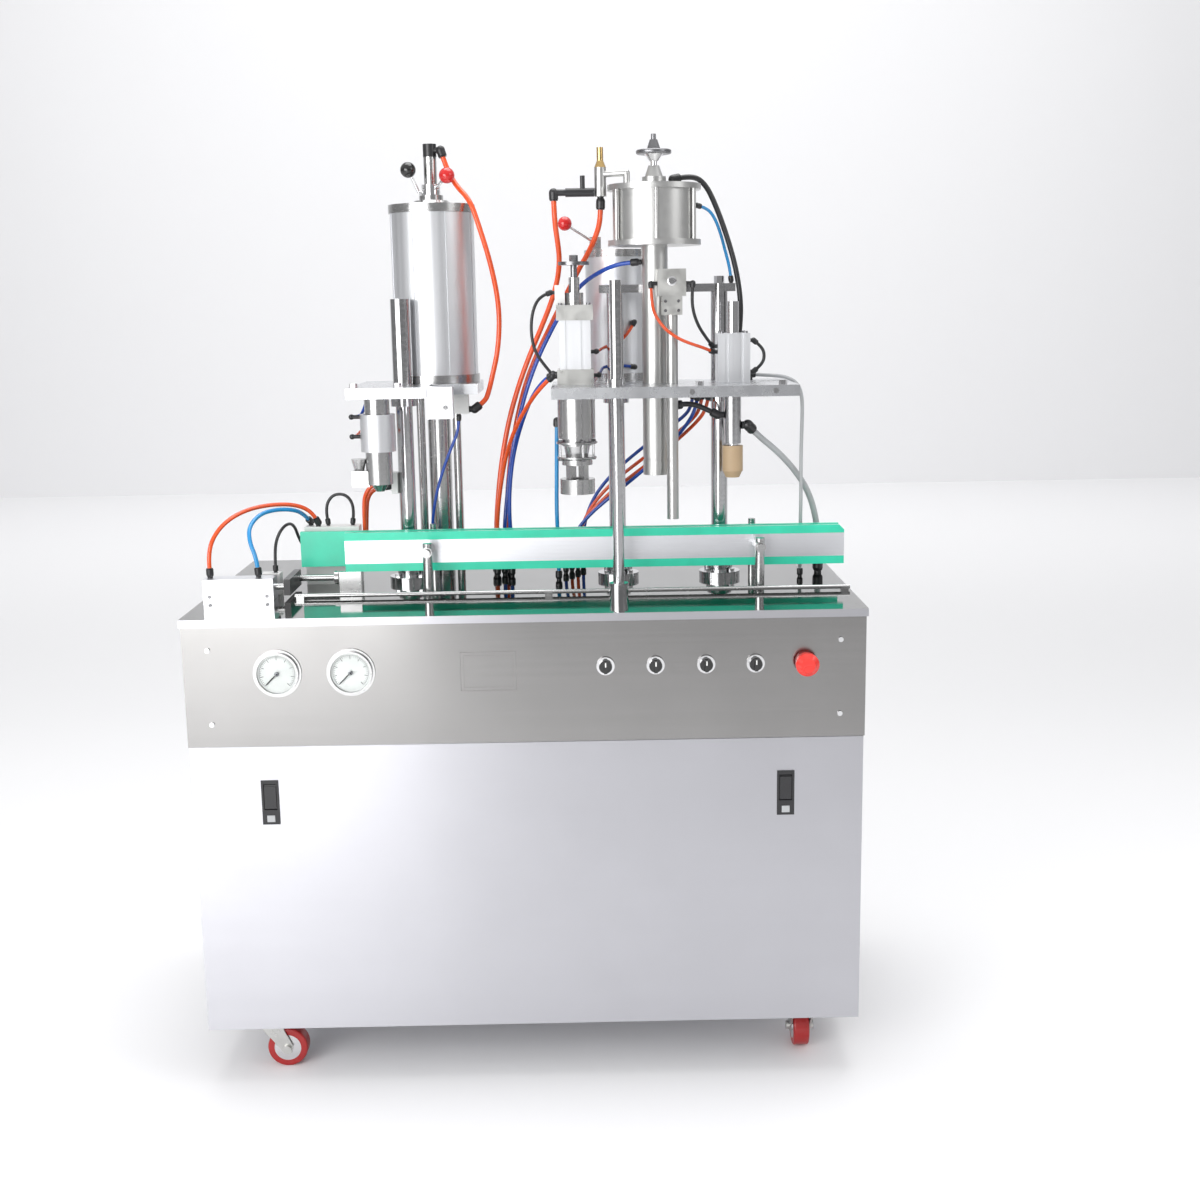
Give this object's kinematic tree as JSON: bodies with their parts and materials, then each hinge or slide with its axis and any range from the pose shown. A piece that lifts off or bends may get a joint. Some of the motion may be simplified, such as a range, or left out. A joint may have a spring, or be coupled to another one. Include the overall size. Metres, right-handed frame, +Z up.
{
  "type": "piston liquid filler",
  "caption": "Wheeled cabinet with a mirror deck, guided can lane, piston dosing cylinder, crimper, metering drum and gas nozzle on columns.",
  "frame": {"origin": "on the floor under the middle of the cabinet", "axes": "+X along the can lane to the outfeed, +Y from the operator to the back, +Z up"},
  "size_m": [1.206, 0.69, 1.712],
  "materials": {
    "stainless_sheet": "brushed stainless sheet",
    "deck_mirror": "mirror polished stainless",
    "frame_steel": "mill finish",
    "column_steel": "ground and plated",
    "plate_steel": "ground plate",
    "cylinder_aluminium": "anodised extrusion",
    "rail_aluminium": "ribbed extrusion",
    "guide_green": "low friction strip",
    "piston_steel": "polished",
    "drum_steel": "turned and polished",
    "fill_white": "white moulding",
    "pusher_body": "anodised block",
    "block_white": "pale moulding",
    "nozzle_tan": "moulded bushing on a steel rod",
    "adjuster_steel": "knurled",
    "lever_black": "ball grip",
    "lever_red": "ball grip",
    "latch_black": "textured",
    "knob_black": "gloss",
    "switch_ring": "plated ring",
    "gauge_steel": "plated case, white dial",
    "gauge_glass": "clear",
    "needle_black": "black",
    "fork_zinc": "zinc plated",
    "wheel_red": "polyurethane",
    "fastener_steel": "bright",
    "fitting_black": "moulded",
    "tube_orange": "polyurethane",
    "tube_blue": "polyurethane",
    "tube_black": "satin",
    "tube_grey": "satin"
  },
  "bodies": {
    "machine": {"cabinet_frame": "frame_steel", "cabinet_shell": "stainless_sheet", "columns": "column_steel", "control_fascia": "stainless_sheet", "crimp_cylinder": "cylinder_aluminium", "deck": "deck_mirror", "dosing_cylinder": "cylinder_aluminium", "drum": "drum_steel", "fasteners": "fastener_steel", "fill_head": "fill_white", "fittings": "fitting_black", "front_guide_rail": "rail_aluminium", "gas_cylinder": "cylinder_aluminium", "gauge_cases": "gauge_steel", "gauge_lenses": "gauge_glass", "guide_brackets": "rail_aluminium", "guide_strips": "guide_green", "hose_dosing": "tube_orange", "hose_drum": "tube_black", "hose_gas": "tube_grey", "metering_tube": "column_steel", "pusher_cylinder": "pusher_body", "rear_cylinder": "cylinder_aluminium", "station_plates": "plate_steel", "switch_bodies": "switch_ring", "tube_crimp_supply": "tube_blue", "tube_drop": "tube_grey", "tubes_black": "tube_black", "tubes_blue": "tube_blue", "tubes_orange": "tube_orange", "valve_blocks": "block_white"},
    "fork_front_left": {"caster_fork_front_left": "fork_zinc"},
    "wheel_front_left": {"caster_wheel_front_left": "wheel_red"},
    "fork_front_right": {"caster_fork_front_right": "fork_zinc"},
    "wheel_front_right": {"caster_wheel_front_right": "wheel_red"},
    "fork_rear_left": {"caster_fork_rear_left": "fork_zinc"},
    "wheel_rear_left": {"caster_wheel_rear_left": "wheel_red"},
    "fork_rear_right": {"caster_fork_rear_right": "fork_zinc"},
    "wheel_rear_right": {"caster_wheel_rear_right": "wheel_red"},
    "front_panel": {"front_panel": "stainless_sheet", "latch_housings": "latch_black"},
    "latch_left": {"latch_paddle_left": "latch_black"},
    "latch_right": {"latch_paddle_right": "latch_black"},
    "selector_1": {"selector_knob_1": "knob_black"},
    "selector_2": {"selector_knob_2": "knob_black"},
    "selector_3": {"selector_knob_3": "knob_black"},
    "selector_4": {"selector_knob_4": "knob_black"},
    "emergency_stop": {"emergency_stop_button": "lever_red"},
    "needle_left": {"gauge_needle_left": "needle_black"},
    "needle_right": {"gauge_needle_right": "needle_black"},
    "dosing_piston": {"dosing_piston": "piston_steel"},
    "dosing_lever_black": {"dosing_lever_black": "lever_black"},
    "dosing_lever_red": {"dosing_lever_red": "lever_red"},
    "fill_valve": {"fill_valve": "piston_steel"},
    "crimp_head": {"crimp_head": "piston_steel"},
    "crimp_adjuster": {"crimp_adjuster": "adjuster_steel"},
    "drum_handwheel": {"drum_handwheel": "drum_steel"},
    "gas_nozzle": {"gas_nozzle": "nozzle_tan"},
    "valve_lever": {"valve_lever": "lever_red"},
    "pusher_slide": {"pusher_slide": "piston_steel"}
  },
  "joints": [
    {"name": "swivel_front_left", "type": "hinge", "parent": "machine", "child": "fork_front_left", "pos_m": [-0.505, -0.24, 0.1], "axis": [0, 0, 1], "continuous": true},
    {"name": "roll_front_left", "type": "hinge", "parent": "fork_front_left", "child": "wheel_front_left", "pos_m": [-0.468, -0.24, 0.0375], "axis": [0, 1, 0], "continuous": true},
    {"name": "swivel_front_right", "type": "hinge", "parent": "machine", "child": "fork_front_right", "pos_m": [0.505, -0.24, 0.1], "axis": [0, 0, 1], "continuous": true},
    {"name": "roll_front_right", "type": "hinge", "parent": "fork_front_right", "child": "wheel_front_right", "pos_m": [0.505, -0.203, 0.0375], "axis": [1, 0, 0], "continuous": true},
    {"name": "swivel_rear_left", "type": "hinge", "parent": "machine", "child": "fork_rear_left", "pos_m": [-0.505, 0.24, 0.1], "axis": [0, 0, 1], "continuous": true},
    {"name": "roll_rear_left", "type": "hinge", "parent": "fork_rear_left", "child": "wheel_rear_left", "pos_m": [-0.468, 0.24, 0.0375], "axis": [0, 1, 0], "continuous": true},
    {"name": "swivel_rear_right", "type": "hinge", "parent": "machine", "child": "fork_rear_right", "pos_m": [0.505, 0.24, 0.1], "axis": [0, 0, 1], "continuous": true},
    {"name": "roll_rear_right", "type": "hinge", "parent": "fork_rear_right", "child": "wheel_rear_right", "pos_m": [0.505, 0.277, 0.0375], "axis": [1, 0, 0], "continuous": true},
    {"name": "front_panel_lift_off", "type": "slide", "parent": "machine", "child": "front_panel", "axis": [0, -1, 0], "range_m": [0, 0.3]},
    {"name": "latch_left_pull", "type": "hinge", "parent": "front_panel", "child": "latch_left", "pos_m": [-0.46, -0.311, 0.571], "axis": [-1, 0, 0], "range_deg": [0, 40], "stiffness_Nm_per_rad": 0.02},
    {"name": "latch_right_pull", "type": "hinge", "parent": "front_panel", "child": "latch_right", "pos_m": [0.46, -0.311, 0.571], "axis": [-1, 0, 0], "range_deg": [0, 40], "stiffness_Nm_per_rad": 0.02},
    {"name": "selector_1_turn", "type": "hinge", "parent": "machine", "child": "selector_1", "pos_m": [0.141, -0.315, 0.78], "axis": [0, 1, 0], "range_deg": [-45, 45]},
    {"name": "selector_2_turn", "type": "hinge", "parent": "machine", "child": "selector_2", "pos_m": [0.229, -0.315, 0.78], "axis": [0, 1, 0], "range_deg": [-45, 45]},
    {"name": "selector_3_turn", "type": "hinge", "parent": "machine", "child": "selector_3", "pos_m": [0.318, -0.315, 0.78], "axis": [0, 1, 0], "range_deg": [-45, 45]},
    {"name": "selector_4_turn", "type": "hinge", "parent": "machine", "child": "selector_4", "pos_m": [0.405, -0.315, 0.78], "axis": [0, 1, 0], "range_deg": [-45, 45]},
    {"name": "emergency_stop_push", "type": "slide", "parent": "machine", "child": "emergency_stop", "axis": [0, 1, 0], "range_m": [0, 0.004], "stiffness_N_per_m": 1500},
    {"name": "needle_left_turn", "type": "hinge", "parent": "machine", "child": "needle_left", "pos_m": [-0.435, -0.321, 0.777], "axis": [0, 1, 0], "range_deg": [0, 270], "stiffness_Nm_per_rad": 0.002},
    {"name": "needle_right_turn", "type": "hinge", "parent": "machine", "child": "needle_right", "pos_m": [-0.306, -0.321, 0.777], "axis": [0, 1, 0], "range_deg": [0, 270], "stiffness_Nm_per_rad": 0.002},
    {"name": "dosing_stroke", "type": "slide", "parent": "machine", "child": "dosing_piston", "axis": [0, 0, 1], "range_m": [0, 0.12]},
    {"name": "dosing_lever_black_turn", "type": "hinge", "parent": "machine", "child": "dosing_lever_black", "pos_m": [-0.177, 0.126, 1.62], "axis": [0, 0, 1], "range_deg": [-35, 35]},
    {"name": "dosing_lever_red_turn", "type": "hinge", "parent": "machine", "child": "dosing_lever_red", "pos_m": [-0.177, 0.126, 1.62], "axis": [0, 0, 1], "range_deg": [-45, 0]},
    {"name": "fill_stroke", "type": "slide", "parent": "machine", "child": "fill_valve", "axis": [0, 0, -1], "range_m": [0, 0.04]},
    {"name": "crimp_stroke", "type": "slide", "parent": "machine", "child": "crimp_head", "axis": [0, 0, -1], "range_m": [0, 0.025]},
    {"name": "crimp_adjuster_turn", "type": "hinge", "parent": "crimp_head", "child": "crimp_adjuster", "pos_m": [0.097, -0.035, 1.46], "axis": [0, 0, 1], "continuous": true},
    {"name": "drum_handwheel_turn", "type": "hinge", "parent": "machine", "child": "drum_handwheel", "pos_m": [0.247, -0.035, 1.65], "axis": [0, 0, 1], "continuous": true},
    {"name": "gas_stroke", "type": "slide", "parent": "machine", "child": "gas_nozzle", "axis": [0, 0, -1], "range_m": [0, 0.04]},
    {"name": "valve_lever_turn", "type": "hinge", "parent": "machine", "child": "valve_lever", "pos_m": [0.139, 0.084, 1.52], "axis": [0, 1, 0], "range_deg": [0, 90]},
    {"name": "pusher_stroke", "type": "slide", "parent": "machine", "child": "pusher_slide", "axis": [1, 0, 0], "range_m": [0, 0.07]}
  ]
}
